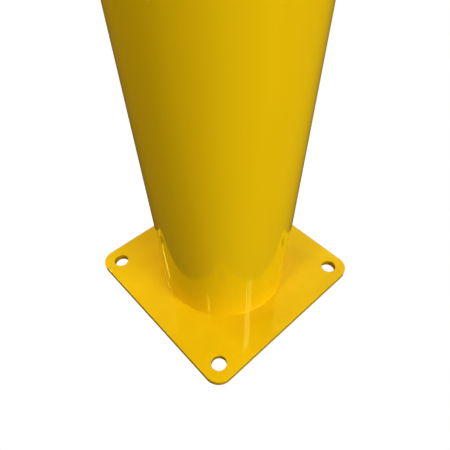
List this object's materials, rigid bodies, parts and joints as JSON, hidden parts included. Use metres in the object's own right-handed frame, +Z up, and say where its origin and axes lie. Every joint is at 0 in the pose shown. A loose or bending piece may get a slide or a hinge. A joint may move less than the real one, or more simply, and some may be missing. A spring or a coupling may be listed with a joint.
{
  "type": "safety bollard",
  "caption": "Straight steel pipe post welded upright to a square floor plate with rounded corners and corner bolt holes, closed by a low domed push-in cap.",
  "frame": {"origin": "centre of the floor plate's underside, on the floor", "axes": "+Z up along the post's axis; X and Y along the plate's sides"},
  "size_m": [0.254, 0.254, 0.9144],
  "materials": {
    "safety_yellow": "gloss safety yellow powder coat over steel",
    "weld_metal": "as-welded steel, lightly dusted with paint",
    "cap_plastic": "fine-textured black polyethylene moulding"
  },
  "bodies": {
    "post": {"base_plate": "safety_yellow", "post_pipe": "safety_yellow", "inside_weld": "weld_metal", "seal_weld": "safety_yellow"},
    "cap": {"end_cap": "cap_plastic"}
  },
  "joints": [
    {"name": "cap_lift", "type": "slide", "parent": "post", "child": "cap", "axis": [0, 0, 1], "range_m": [0, 0.075]}
  ]
}
